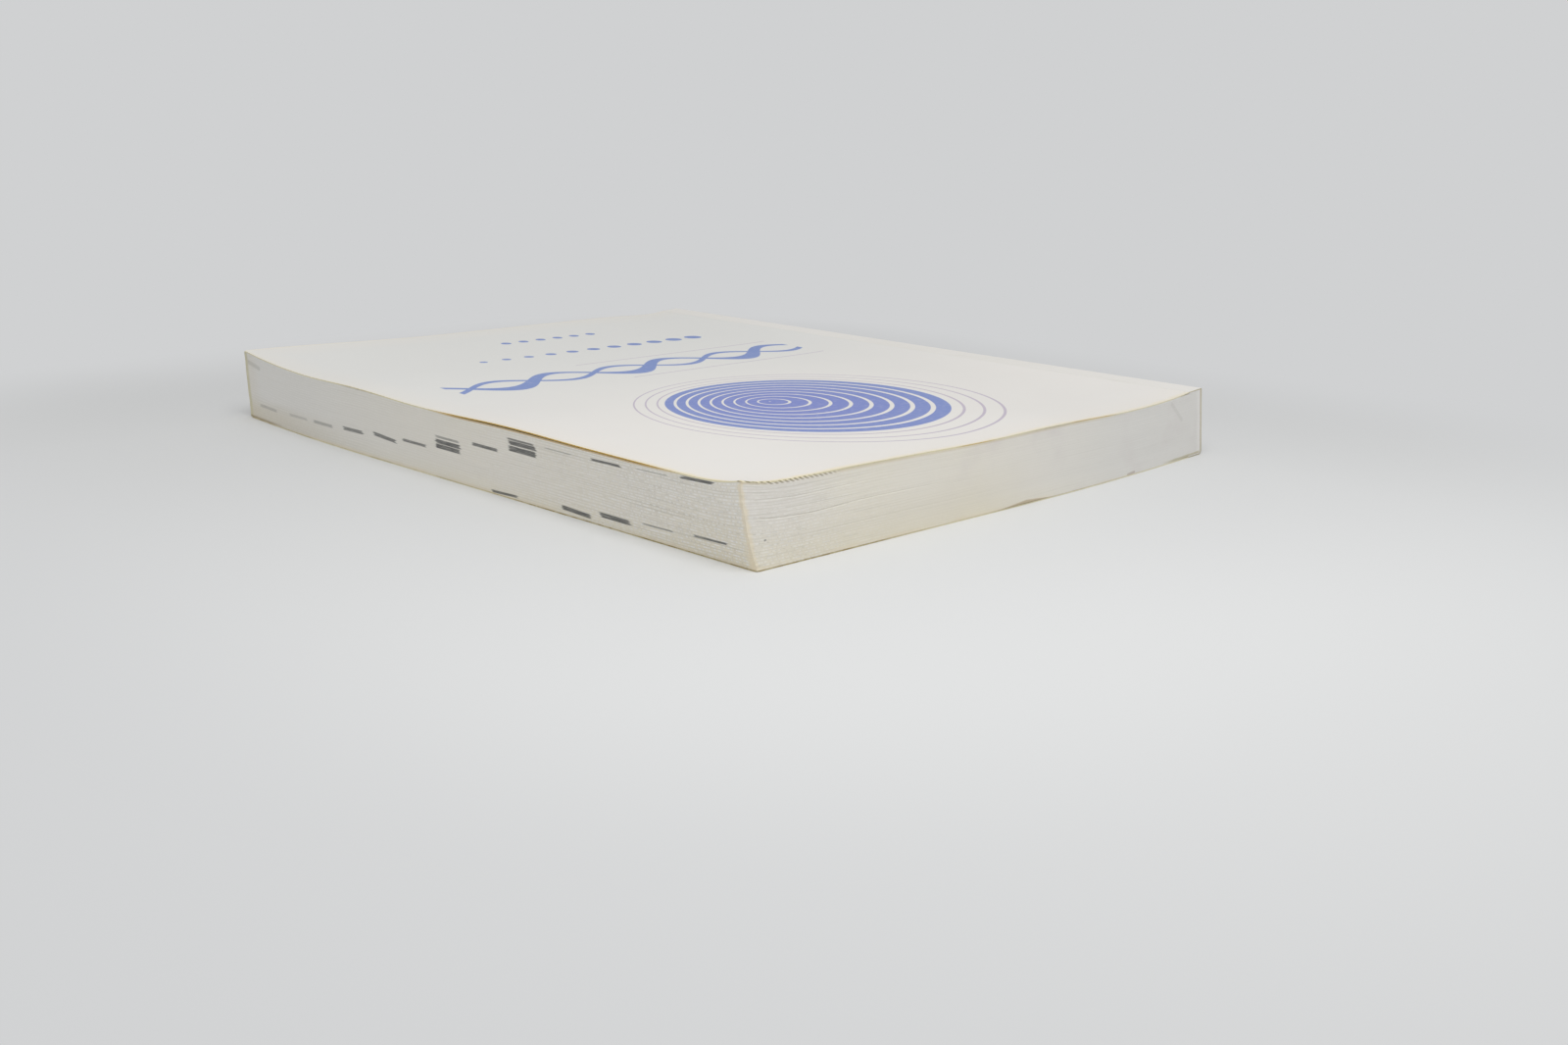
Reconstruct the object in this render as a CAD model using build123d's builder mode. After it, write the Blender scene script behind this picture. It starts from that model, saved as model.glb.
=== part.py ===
from build123d import *

import os
from math import cos, pi, sin, sqrt

os.makedirs("parts", exist_ok=True)

# Paperback book, lying on its back cover. X runs from the spine to the fore edge,
# Y from the tail to the head, Z up. The origin is on the flat of the back cover's
# outer face, in the middle of the trimmed size. All sizes are in millimetres.

# Trimmed size
trim_width = 177.0
trim_height = 228.6

# Leaves
leaf_count = 200
leaf_thickness = 0.0925

# Cover card and glue
card_thickness = 0.3
side_film = 0.15
spine_glue_thickness = 0.8
glued_strip_width = 6.5
score_gap = 0.1

# Spine
spine_shift = 2.3
front_corner_round = 0.6
back_corner_round = 1.2

# Back of the book: flat on the table, curling up towards the spine and at the tail's fore
# corner
back_flat_reach = 5.0
back_curl_rise = 1.7
foot_lift = 1.45
foot_reach_x = 70.0
foot_reach_y = 64.0

# Front of the book: swollen along the glue, raised along the tail and most at the tail's
# fore corner, with a small lifted corner at the head
spine_swell = 1.6
spine_swell_reach = 30.0
strip_rise = 0.45
tail_rise = 1.5
tail_rise_start = 28.0
tail_corner_lift = 1.5
tail_corner_reach = 70.0
tail_reach = 46.0
head_corner_lift = 1.95
head_corner_reach = 22.0

# Waves of the leaves: place along the edge, rise, and reach each way along it
fore_waves = [(-48.0, 0.47, 26.0), (-14.0, -0.35, 26.0), (26.0, 0.35, 30.0), (75.0, 0.3, 90.0)]
head_waves = [(58.0, 0.2, 26.0), (12.0, -0.5, 28.0), (-46.0, -0.38, 26.0)]
fore_wave_depth = 70.0
head_wave_depth = 50.0

# Lean of the fore edge, front further out than back, and its belly beside the head
tail_lean = 1.0
head_lean = 5.2
head_belly = 0.75
head_belly_reach = 60.0

# The front cover bows off the leaves along the fore edge
bow_height = 0.2
bow_place = 32.0
bow_reach_y = 32.0
bow_reach_x = 60.0

# How finely the curved front is followed, along the book and across it
section_steps = 24
line_steps = 16

# Worked out from the sizes above
block_thickness = leaf_count * leaf_thickness
leaf_bottom = card_thickness + side_film
leaf_top = leaf_bottom + block_thickness
head = trim_height / 2
tail = -trim_height / 2
fore_edge = trim_width / 2
back_spine = -trim_width / 2
front_spine = back_spine + spine_shift
leaf_spine = back_spine + card_thickness + spine_glue_thickness
back_score = back_spine + glued_strip_width
front_score = front_spine + glued_strip_width
score_top = leaf_top + spine_swell
spine_top = score_top + strip_rise
mid_height = (leaf_bottom + leaf_top) / 2
foot_start = fore_edge - foot_reach_x
curl_run = -back_flat_reach - back_score
curl_radius = (curl_run**2 + back_curl_rise**2) / (2 * back_curl_rise)


def fade(distance, reach):
    """1 at no distance, easing down to 0 at the reach and beyond."""
    if abs(distance) >= reach:
        return 0.0
    return cos(pi / 2 * distance / reach) ** 2


def lean(y):
    """How far the front of the fore edge stands out beyond its back."""
    return tail_lean + (head_lean - tail_lean) * (y - tail) / trim_height


def belly(y):
    """How far the middle leaves of the fore edge stand out beyond the straight lean."""
    return head_belly * max(0.0, 1 - (head - y) / head_belly_reach) ** 2


def waves(place, edge_waves):
    """Sum of the waves along an edge at one place on it."""
    return sum(rise * fade(place - middle, reach) for middle, rise, reach in edge_waves)


def leaf_height(x, y):
    """Height of the top leaf."""
    from_fore = fore_edge + lean(y) - x
    from_score = x - front_score
    tail_height = tail_rise * (1 - fade(from_score, tail_rise_start))
    tail_height += tail_corner_lift * fade(from_fore, tail_corner_reach)
    swell = spine_swell * max(0.0, 1 - from_score / spine_swell_reach) ** 3
    tail_lift = tail_height * max(0.0, 1 - (y - tail) / tail_reach) ** 2
    corner_x = max(0.0, 1 - from_fore / head_corner_reach)
    corner_y = max(0.0, 1 - (head - y) / head_corner_reach)
    head_lift = head_corner_lift * (corner_x * corner_y) ** 3
    fore_wave = waves(y, fore_waves) * fade(from_fore, fore_wave_depth)
    head_wave = waves(x, head_waves) * fade(head - y, head_wave_depth)
    return leaf_top + swell + tail_lift + head_lift + fore_wave + head_wave


def cover_height(x, y):
    """Height of the front cover's inner face."""
    from_fore = fore_edge + lean(y) - x
    bow = bow_height * fade(y - bow_place, bow_reach_y) * fade(from_fore, bow_reach_x)
    return leaf_height(x, y) + side_film + bow


def back_curl(x, depth):
    """Height of the back's curled stretch, depth above the outer face of the back cover."""
    run = -back_flat_reach - x
    return curl_radius - sqrt((curl_radius - depth) ** 2 - run**2)


def foot_height(x, y):
    """Height that the tail's fore corner adds to the back of the book."""
    return foot_lift * fade(fore_edge - x, foot_reach_x) * max(0.0, 1 - (y - tail) / foot_reach_y) ** 2


def spaced(start, end, steps):
    """Places from start to end, closer together towards both ends."""
    return [start + (end - start) * (1 - cos(pi * step / steps)) / 2 for step in range(steps + 1)]


def curl_arc(start_x, end_x, depth):
    """Arc along the curled back between two places, depth above its outer face."""
    middle_x = (start_x + end_x) / 2
    return ThreePointArc(*[(x, back_curl(x, depth)) for x in (start_x, middle_x, end_x)])


def spine_end(side, spine, front_round=0.0, back_round=0.0):
    """Section of the book's spine end as far as the scores, grown outwards from the leaves."""
    back_x = leaf_spine - spine
    front_x = back_x + spine_shift
    depth = leaf_bottom - side
    spine_back = (back_x, back_curl(back_x, depth))
    score_back = (back_score, back_curl(back_score, depth))
    with BuildSketch() as region:
        with BuildLine():
            curl_arc(back_score, back_x, depth)
            Polyline(spine_back, (front_x, spine_top + side), (front_score, score_top + side),
                     (front_score, mid_height), (back_score, mid_height), score_back)
        make_face()
        corners = region.vertices().sort_by(Axis.X)[:2].sort_by(Axis.Y)
        if back_round > 0:
            fillet(corners[0], back_round)
        if front_round > 0:
            fillet(corners[1], front_round)
    return region.sketch


# Leaves, trimmed square at head, tail and fore edge and glued into one block
with BuildPart() as text_block:
    for y in spaced(tail, head, section_steps):
        foot = [(x, leaf_bottom + foot_height(x, y)) for x in spaced(fore_edge, foot_start, line_steps)]
        flat_end = (-back_flat_reach, leaf_bottom)
        spine_back = (leaf_spine, back_curl(leaf_spine, leaf_bottom))
        spine_front = (leaf_spine + spine_shift, spine_top)
        reach = spaced(front_score, fore_edge + lean(y), line_steps)
        front_line = [(x, leaf_height(x, y)) for x in reach]
        fore_front = front_line[-1]
        fore_middle = ((foot[0][0] + fore_front[0]) / 2 + belly(y), (foot[0][1] + fore_front[1]) / 2)
        with BuildSketch(Plane.XZ.offset(-y)):
            with BuildLine():
                Spline(*foot)
                Line(foot[-1], flat_end)
                curl_arc(flat_end[0], leaf_spine, leaf_bottom)
                Polyline(spine_back, spine_front, front_line[0])
                Spline(*front_line)
                Spline(fore_front, fore_middle, foot[0])
            make_face()
    loft()

# Sections of the spine end: leaves alone, leaves with their glue, and the whole with its card
leaf_end = spine_end(0, 0)
glue_end = spine_end(side_film, spine_glue_thickness, front_corner_round - card_thickness,
                     back_corner_round - card_thickness)
card_end = spine_end(leaf_bottom, spine_glue_thickness + card_thickness, front_corner_round,
                     back_corner_round)

# Adhesive on the backs of the leaves, with a thin film up each side to the score
with BuildPart() as spine_glue:
    with BuildSketch(Plane.XZ):
        add(glue_end)
        add(leaf_end, mode=Mode.SUBTRACT)
    extrude(amount=trim_height / 2, both=True)

# Card glued to the block: the spine panel and its strip on each side up to the score
with BuildPart() as cover_spine:
    with BuildSketch(Plane.XZ):
        add(card_end)
        add(glue_end, mode=Mode.SUBTRACT)
    extrude(amount=trim_height / 2, both=True)

# Free front panel of the card, trimmed flush with the leaves
with BuildPart() as front_cover:
    for y in spaced(tail, head, section_steps):
        reach = spaced(front_score + score_gap, fore_edge + lean(y), line_steps)
        inner = [(x, cover_height(x, y)) for x in reach]
        outer = [(x, z + card_thickness) for x, z in inner]
        with BuildSketch(Plane.XZ.offset(-y)):
            with BuildLine():
                Spline(*inner)
                Line(inner[-1], outer[-1])
                Spline(*outer)
                Line(outer[0], inner[0])
            make_face()
    loft()

# Free back panel of the card: the flat stretch with its curl up to the score, and the stretch
# along the fore edge that lifts at the tail
with BuildPart() as back_cover:
    with BuildSketch(Plane.XZ):
        with BuildLine():
            free_end = back_score + score_gap
            Polyline((free_end, back_curl(free_end, 0)), (free_end, back_curl(free_end, card_thickness)))
            curl_arc(free_end, -back_flat_reach, card_thickness)
            Polyline((-back_flat_reach, card_thickness), (foot_start, card_thickness), (foot_start, 0),
                     (-back_flat_reach, 0))
            curl_arc(-back_flat_reach, free_end, 0)
        make_face()
    extrude(amount=trim_height / 2, both=True)
    for y in spaced(tail, head, section_steps):
        outer = [(x, foot_height(x, y)) for x in spaced(foot_start, fore_edge, line_steps)]
        inner = [(x, z + card_thickness) for x, z in outer]
        with BuildSketch(Plane.XZ.offset(-y)):
            with BuildLine():
                Spline(*inner)
                Line(inner[-1], outer[-1])
                Spline(*outer)
                Line(outer[0], inner[0])
            make_face()
    loft()

text_block.part.label = "text_block"
export_step(text_block.part, "parts/text_block.step")

spine_glue.part.label = "spine_glue"
export_step(spine_glue.part, "parts/spine_glue.step")

cover_spine.part.label = "cover_spine"
export_step(cover_spine.part, "parts/cover_spine.step")

front_cover.part.label = "front_cover"
export_step(front_cover.part, "parts/front_cover.step")

back_cover.part.label = "back_cover"
export_step(back_cover.part, "parts/back_cover.step")
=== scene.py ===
from math import cos, pi, radians, sin

import bpy
import numpy as np
from mathutils import Matrix, Vector
from mathutils.bvhtree import BVHTree


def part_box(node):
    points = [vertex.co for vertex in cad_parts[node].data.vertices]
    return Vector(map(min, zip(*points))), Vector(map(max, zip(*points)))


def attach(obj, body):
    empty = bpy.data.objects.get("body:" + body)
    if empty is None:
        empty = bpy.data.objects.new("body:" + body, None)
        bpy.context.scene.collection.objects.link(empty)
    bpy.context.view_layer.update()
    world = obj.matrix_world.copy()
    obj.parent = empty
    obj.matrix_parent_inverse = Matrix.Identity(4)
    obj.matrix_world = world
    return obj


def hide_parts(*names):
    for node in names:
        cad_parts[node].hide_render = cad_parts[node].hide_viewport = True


# A paperback book lying on its back cover. X runs from the spine to the fore edge, Y from
# the tail to the head, Z up. Lengths are in millimetres times mm, which makes them metres.
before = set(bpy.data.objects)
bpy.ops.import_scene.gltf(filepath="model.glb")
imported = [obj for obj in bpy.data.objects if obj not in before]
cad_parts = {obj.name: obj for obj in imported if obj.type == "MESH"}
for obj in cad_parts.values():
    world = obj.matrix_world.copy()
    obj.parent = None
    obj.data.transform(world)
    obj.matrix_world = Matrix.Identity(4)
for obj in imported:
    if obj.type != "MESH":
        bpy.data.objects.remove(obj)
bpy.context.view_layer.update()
mm = 0.001

# The book's reach
block_low, block_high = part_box("text_block")
tail, head = block_low.y, block_high.y

# How finely the cover panels and the leaves are followed, how much their points crowd
# towards the edges, and how often a solid's facets are evened out
panel_steps_x = 96
panel_steps_y = 120
panel_ease = 0.85
block_steps_x = 46
block_steps_y = 64
block_ease = 0.6
facet_smoothing = 10

# Where rays cast at a solid start, above or below the base, and the angle between two faces
# from which their edge is kept sharp
ray_start = 1000 * mm
sharp_angle = radians(40)

# Trimming of the card: worn fore corners, and an edge that wanders a little inwards, with
# so many knots along the fore edge and the ends, and by a power of the place across
corner_wear = 1.1 * mm
edge_wander = 0.07 * mm
fore_knots = 26
end_knots = 20
wander_power = 8
front_seed = 11
back_seed = 31

# The free panels reach past their solids by this much, and all but touch the spine's card
score_reach = 0.07 * mm

# Leaves, their cut edges and the partings that show between some of them, whose width is
# given in leaves
leaf_count = 200
rows_per_leaf = 2
wall_rows = leaf_count * rows_per_leaf
groove_depth = 0.035 * mm
trim_spread = 0.03 * mm
trim_seed = 7
parting_depth = 0.3 * mm
parting_width = 1.6

# The fore edge of the leaves has a belly beside the head
belly = 0.75 * mm
belly_reach = 60 * mm

# The leaves lie against the card past the side glue, but for a bow of the front cover along
# the fore edge, whose gap is painted with warm shade over a stretch given in millimetres
# (from, to and how softly), and a slit above the back cover at one place along the head
side_gap = 0.13 * mm
glue_reach = 7 * mm
glue_ease = 4 * mm
bow_place = 42 * mm
bow_reach = 50 * mm
bow_ease = 14 * mm
bow_shade_stretch = (-5, 89, 8)
slit_place = -7 * mm
slit_reach = 13 * mm
slit_depth = 20 * mm
slit_height = 0.1 * mm
slit_leaves = 0.1

# Camera: place, heading, dip and roll in degrees, and its lens and sensor in millimetres
camera_place = Vector((338.9, 376.7, 103.9)) * mm
camera_heading = 225.43
camera_dip = 14.304
camera_roll = 0.7825
camera_lens = 39.457
camera_sensor = 36.0
camera_clip = 10 * mm

# Light: even light from all round, and one soft lamp above the near corner
world_light = 0.54
lamp_place = Vector((260, 370, 620)) * mm
lamp_target = Vector((40, 60, 0)) * mm
lamp_width = 500 * mm
lamp_power = 2.6


def srgb(red, green, blue):
    """Linear colour of a screen colour given in parts of 255."""
    parts = [part / 255 for part in (red, green, blue)]
    return (*[p / 12.92 if p <= 0.04045 else ((p + 0.055) / 1.055) ** 2.4 for p in parts], 1.0)


# The card: outside, inside and print
card_white = srgb(238, 235, 230)
card_cloud = srgb(232, 229, 224)
card_cool = srgb(228, 229, 226)
card_warm = srgb(241, 233, 221)
card_cream = srgb(238, 226, 192)
card_scuff = srgb(244, 242, 238)
card_inside = srgb(232, 224, 200)
card_inside_cloud = srgb(229, 220, 193)
card_ochre = srgb(168, 140, 84)
print_blue = srgb(110, 126, 202)
print_wave_blue = srgb(112, 138, 202)
print_lavender = srgb(196, 185, 201)

# The cut edge of the card, and the shade painted on it
card_core = srgb(226, 218, 186)
card_brown_and_gap_shade = srgb(198, 158, 64)
card_core_olive = srgb(188, 179, 140)
card_core_dark = srgb(146, 126, 74)
card_core_pale = srgb(232, 228, 208)
card_corner_gap_shadow = srgb(104, 92, 44)
fray_dark = srgb(112, 98, 50)
fray_pale = srgb(248, 240, 212)

# The card round the spine and the adhesive
spine_cloud = srgb(232, 229, 221)
spine_crease = srgb(214, 208, 194)
spine_core = srgb(202, 196, 170)
spine_core_olive = srgb(184, 176, 140)
spine_core_dark = srgb(150, 144, 106)
glue_white = srgb(237, 233, 238)
glue_cloud = srgb(230, 226, 229)

# The leaves: their faces, the tones of their cut edges, what marks and stains them, and the shade
# painted on them
page_face = srgb(236, 232, 221)
page_cloud = srgb(234, 229, 216)
page_rim = srgb(226, 214, 184)
page_edge = srgb(244, 240, 231)
page_edge_warm = srgb(245, 239, 219)
page_edge_grey = srgb(236, 235, 232)
page_edge_low = srgb(232, 225, 205)
page_edge_high = srgb(238, 234, 228)
page_edge_cream = srgb(238, 226, 188)
page_edge_tail = srgb(206, 192, 156)
page_blotch = srgb(226, 219, 217)
page_shadow = srgb(176, 172, 160)
page_light = srgb(250, 248, 244)
edge_band = srgb(240, 228, 202)
parting_shade = srgb(168, 164, 152)
tail_wash = srgb(220, 210, 186)
tail_rim = srgb(214, 208, 176)
tail_brown = srgb(152, 130, 86)
bow_gap_shade = srgb(206, 172, 104)
under_card_cream = srgb(222, 206, 168)
strand_shade = srgb(122, 112, 90)
slit_shade_ochre = srgb(178, 152, 106)
dent_shade_and_smudge_grey = srgb(140, 140, 124)
stain_brown = srgb(150, 118, 90)
ink_grey = srgb(104, 105, 104)

# The floor, painted brighter near the book as a pool of light, and the backdrop
floor_bright = srgb(228, 229, 229)
floor_dim = srgb(220, 221, 221)
floor_near = srgb(226, 227, 227)
backdrop = srgb(208, 209, 210)


class Wire:
    """One output in a node tree. Arithmetic on it adds Math nodes to that tree."""

    def __init__(self, tree, socket=None):
        self.tree = tree
        self.socket = socket

    def node(self, kind, settings=None, sockets=None, output=0):
        """Adds a node: its settings first, then the values or links of its sockets."""
        made = self.tree.nodes.new(kind)
        for name, value in (settings or {}).items():
            setattr(made, name, value)
        for name, value in (sockets or {}).items():
            if isinstance(value, Wire):
                self.tree.links.new(value.socket, made.inputs[name])
            else:
                made.inputs[name].default_value = value
        return Wire(self.tree, made.outputs[output])

    def maths(self, operation, *values):
        return self.node("ShaderNodeMath", {"operation": operation}, dict(enumerate(values)))

    def __add__(self, other):
        return self.maths("ADD", self, other)

    def __sub__(self, other):
        return self.maths("SUBTRACT", self, other)

    def __rsub__(self, other):
        return self.maths("SUBTRACT", other, self)

    def __mul__(self, other):
        return self.maths("MULTIPLY", self, other)

    def __truediv__(self, other):
        return self.maths("DIVIDE", self, other)

    __radd__ = __add__

    def least(self, other):
        return self.maths("MINIMUM", self, other)

    def most(self, other):
        return self.maths("MAXIMUM", self, other)

    def size(self):
        return self.maths("ABSOLUTE", self)

    def root(self):
        return self.maths("SQRT", self)

    def diagonal(self, other):
        return (self * self + other * other).root()

    def fraction(self):
        return self.maths("FRACT", self)

    def whole(self):
        return self.maths("FLOOR", self)

    def sine(self):
        return self.maths("SINE", self)

    def rise(self, low, high):
        """0 up to low, 1 from high on, and smooth between."""
        ends = {"Value": self, "From Min": low, "From Max": high}
        return self.node("ShaderNodeMapRange", {"interpolation_type": "SMOOTHSTEP"}, ends)

    def fall(self, low, high):
        """1 up to low, 0 from high on, and smooth between."""
        return 1 - self.rise(low, high)

    def within(self, low, high, soft):
        """1 between two values, 0 outside, with soft ends."""
        return self.rise(low - soft, low + soft) * self.fall(high - soft, high + soft)

    def mix(self, low, high):
        """Colour that goes from low to high as this value goes from 0 to 1."""
        return self.node("ShaderNodeMix", {"data_type": "RGBA"}, {0: self, 6: low, 7: high}, 2)


def finish(name, roughness, specular):
    """A new material: itself, its shader, and wires of a point's place in millimetres."""
    material = bpy.data.materials.new(name)
    material.use_nodes = True
    tree = material.node_tree
    shader = tree.nodes["Principled BSDF"]
    shader.inputs["Roughness"].default_value = roughness
    shader.inputs["Specular IOR Level"].default_value = specular
    place = Wire(tree).node("ShaderNodeTexCoord", output="Object")
    place = place.node("ShaderNodeVectorMath", {"operation": "SCALE"}, {0: place, "Scale": 1 / mm})
    split = [place.node("ShaderNodeSeparateXYZ", None, {0: place}, axis) for axis in "XYZ"]
    return material, shader, place, split


def noise(place, grain, detail=2.0, stretch=None):
    """Smooth noise from 0 to 1 with that grain in millimetres, stretched along the axes."""
    if stretch:
        place = place.node("ShaderNodeVectorMath", {"operation": "MULTIPLY"}, {0: place, 1: stretch})
    sockets = {"Vector": place, "Scale": 1 / grain, "Detail": detail}
    return place.node("ShaderNodeTexNoise", None, sockets)


def layered(colour, layers):
    """A colour under layers, each given by how much it covers and its own colour."""
    for cover, tone in layers:
        colour = cover.mix(colour, tone)
    return colour


def paint(shader, colour, bump=None, bump_depth=0.0, roughness=None):
    """Feeds a shader its colour, its fine relief and its roughness."""
    colour.tree.links.new(colour.socket, shader.inputs["Base Color"])
    if bump is not None:
        relief = bump.node("ShaderNodeBump", None, {"Height": bump, "Distance": bump_depth})
        relief.tree.links.new(relief.socket, shader.inputs["Normal"])
    if roughness is not None:
        roughness.tree.links.new(roughness.socket, shader.inputs["Roughness"])


def from_trim(place, x, y, grain, detail, wandering):
    """Distance in millimetres from the trimmed edges of the front cover, wandering a little."""
    tail_reach = span("front_cover", tail)[1] / mm
    head_reach = span("front_cover", head)[1] / mm
    slope = (head_reach - tail_reach) / ((head - tail) / mm)
    fore = tail_reach + (y - tail / mm) * slope - x
    straight = fore.least(y - tail / mm).least(head / mm - y)
    return straight + (noise(place, grain, detail) - 0.5) * wandering


def ripples(x, y):
    """Rings that spread from a point off their middle, heavy inside and hairlines outside."""
    centre_x, centre_y = 15.3, 41.9
    drift = 0.28
    drift_x, drift_y = -0.5, 0.866
    pitch, hair_pitch = 4.4, 4.3
    heavy_half, thinning, hair_half = 1.9, 0.007, 0.32
    heavy_reach = 39.6
    last_ring = 52.5
    from_x = x - centre_x
    from_y = y - centre_y
    along = (from_x * drift_x + from_y * drift_y) * drift
    spread = 1 - drift * drift
    distance = from_x * from_x + from_y * from_y
    radius = ((along * along + distance * spread).root() - along) / spread
    from_ring = ((radius / pitch).fraction() - 0.5).size() * pitch
    from_hair = (((radius - heavy_reach) / hair_pitch).fraction() - 0.5).size() * hair_pitch
    heavy = (from_ring - (heavy_half - radius * thinning)).fall(-0.06, 0.06)
    heavy = heavy * radius.fall(heavy_reach - 0.1, heavy_reach + 0.1)
    hair = (from_hair - hair_half).fall(-0.05, 0.05)
    return heavy, hair * radius.within(heavy_reach, last_ring, 0.05), radius / heavy_reach


def waves(x, y):
    """Two waves that cross each other over and over, and a hairline along each side of them."""
    middle, height, length = -27.0, 7.0, 44.0
    left, right, hair_right = -62.0, 72.0, 18.0
    heavy_half, swelling, swell_shift = 2.3, 0.9, 0.7
    light_half, light_share = 1.3, 0.8
    hair_offset = 14.0
    soft = 0.08
    turn = x * (2 * pi / length)
    swing = turn.sine() * height
    swell = heavy_half + (turn + swell_shift).sine() * swelling
    heavy = ((y - middle - swing).size() - swell).fall(-soft, soft)
    light = ((y - middle + swing * light_share).size() - light_half).fall(-soft, soft)
    thin = ((y - middle).size() - hair_offset).size().fall(0.2, 0.3)
    ends = x.within(left, right, 0.1)
    return heavy.most(light) * ends, thin * x.within(left, hair_right, 0.1)


# Rows of printed beads. Each gives the X of its first bead, the step to the next one, their
# number, the Y of the row, the first one's radius and how much smaller each next one is.
bead_rows = [
    (-50.0, 8.6, 11, -64.0, 3.0, 0.17),
    (-26.0, 7.0, 6, -90.0, 1.7, 0.0),
]


def beads(x, y):
    """A row of discs that shrink towards the fore edge, and a short row of small ones."""
    soft = 0.08
    discs = None
    for first, step, count, row, size, shrink in bead_rows:
        cell = ((x - first) / step + 0.5).whole()
        off_x = x - first - cell * step
        off_y = y - row
        radius = size - cell * shrink
        disc = (off_x.diagonal(off_y) - radius).fall(-soft, soft)
        disc = disc * cell.within(-0.5, count - 0.5, 0.01)
        discs = disc if discs is None else discs.most(disc)
    return discs


def front_tone(place, x, y, colour):
    """The front's tone: darker and cooler towards the tail, and creamy at its trimmed edges."""
    tail_side = y.fall(-60, 60)
    from_edge = from_trim(place, x, y, 5, 3, 2.2)
    near_corner = x.rise(48, 80) * y.rise(72, 104)
    creaminess = 0.5 + near_corner * 0.45 - tail_side * 0.3
    return layered(colour, [
        (tail_side * 0.7, card_cool),
        (from_edge.fall(0, 14) * 0.25, card_warm),
        (from_edge.fall(0.1, 2.2) * creaminess, card_cream)])


def front_print(place, x, y, colour, scuff):
    """The print on the front, rings, waves and beads, paler where its ink is worn."""
    ink = 0.95 - noise(place, 1.6, 3).rise(0.45, 0.85) * 0.14 - scuff * 0.1
    heavy_ring, hair_ring, outness = ripples(x, y)
    heavy_wave, thin_wave = waves(x, y)
    return layered(colour, [
        (heavy_ring * ink, outness.rise(0.2, 1.5).mix(print_blue, print_wave_blue)),
        (hair_ring * ink, print_lavender),
        (heavy_wave * ink, print_wave_blue),
        (thin_wave * ink, print_lavender),
        (beads(x, y) * ink, print_wave_blue)])


def card_finish(name, printed):
    """Smooth coated card, off-white, with the front's tone and print if asked."""
    material, shader, place, (x, y, z) = finish(name, 0.5, 0.42)
    cloud = noise(place, 38, 3).rise(0.35, 0.75)
    colour = (cloud * 0.35).mix(card_white, card_cloud)
    scuff = noise(place, 3.2, 4, (1, 0.3, 1)).rise(0.66, 0.8)
    if printed:
        colour = front_print(place, x, y, front_tone(place, x, y, colour), scuff)
    colour = (scuff * 0.15).mix(colour, card_scuff)
    tooth = noise(place, 0.35, 3) + noise(place, 9, 2) * 2.0
    sheen = 0.44 + noise(place, 14, 3) * 0.12 + scuff * 0.12
    paint(shader, colour, tooth, 0.012 * mm, sheen)
    return material


def inside_finish():
    """The uncoated inner side of the card, aged to ochre from its edges inwards."""
    material, shader, place, (x, y, z) = finish("card_inside", 0.8, 0.3)
    from_edge = from_trim(place, x, y, 7, 4, 5)
    colour = noise(place, 30, 3).rise(0.3, 0.7).mix(card_inside, card_inside_cloud)
    colour = layered(colour, [(from_edge.fall(0, 16) * 0.35, card_ochre),
                              (from_edge.fall(0, 3) * 0.6, card_ochre)])
    paint(shader, colour, noise(place, 0.5, 3), 0.02 * mm)
    return material


def fray(x, z):
    """1 on the dark strands of a frayed edge, 0 on the pale ones."""
    return ((x / 1.5 - z * 1.2).fraction() - 0.5).size().rise(0.12, 0.34)


def core_finish():
    """The cut edge of the card: olive, browner in stretches, browner still along the bow with painted
    shade of its gap, frayed beside the corner, and with a painted shadow dash at the corner.
    """
    material, shader, place, (x, y, z) = finish("card_cut_edge", 0.85, 0.25)
    on_top = z.rise(8, 9)
    on_head = y.rise(113.0, 113.5)
    stretch = noise(place, 24, 3).rise(0.48, 0.64)
    # Along the bow the cut edge is painted browner: partly the card's own brown, partly painted shade
    # of the gap under the bow
    arch_brown_and_shade = y.within(*bow_shade_stretch) * (1 - on_head) * on_top
    ochre = (x.within(8, 20, 3) + x.within(-43, -25, 3)) * on_head * on_top
    fine = noise(place, 1.1, 3).rise(0.5, 0.8) * 0.15
    # Low down towards the two fore corners the cut edge is darker: partly the card's own olive,
    # partly painted shade under the lifted corners
    near_corner = x.rise(20, 55) * (y.rise(0, 40) + y.fall(-108, -94)) * (1 - on_top)
    near_corner = near_corner * (0.5 + noise(place, 2.5, 3).rise(0.4, 0.6) * 0.5)
    frayed = on_head * on_top * x.rise(66, 76) * noise(place, 1.7, 2).rise(0.3, 0.55)
    thread = fray(x, z)
    colour = layered(card_core, [
        (stretch * (1 - on_top) * 0.6 + fine, card_core_olive),
        (near_corner * 0.75, card_core_dark),
        (on_head * x.fall(-30, 20) * 0.5, card_core_pale),
        (arch_brown_and_shade * 0.9 + ochre * 0.5 + fine, card_brown_and_gap_shade),
        (frayed * thread * 0.7, fray_dark),
        (frayed * (1 - thread) * 0.7, fray_pale),
        # A painted shadow dash for the gap under the cover at the corner
        (on_head * on_top * x.within(89.6, 91.6, 0.5) * 0.4, card_corner_gap_shadow)])
    paint(shader, colour, fine, 0.1 * mm)
    return material


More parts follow.
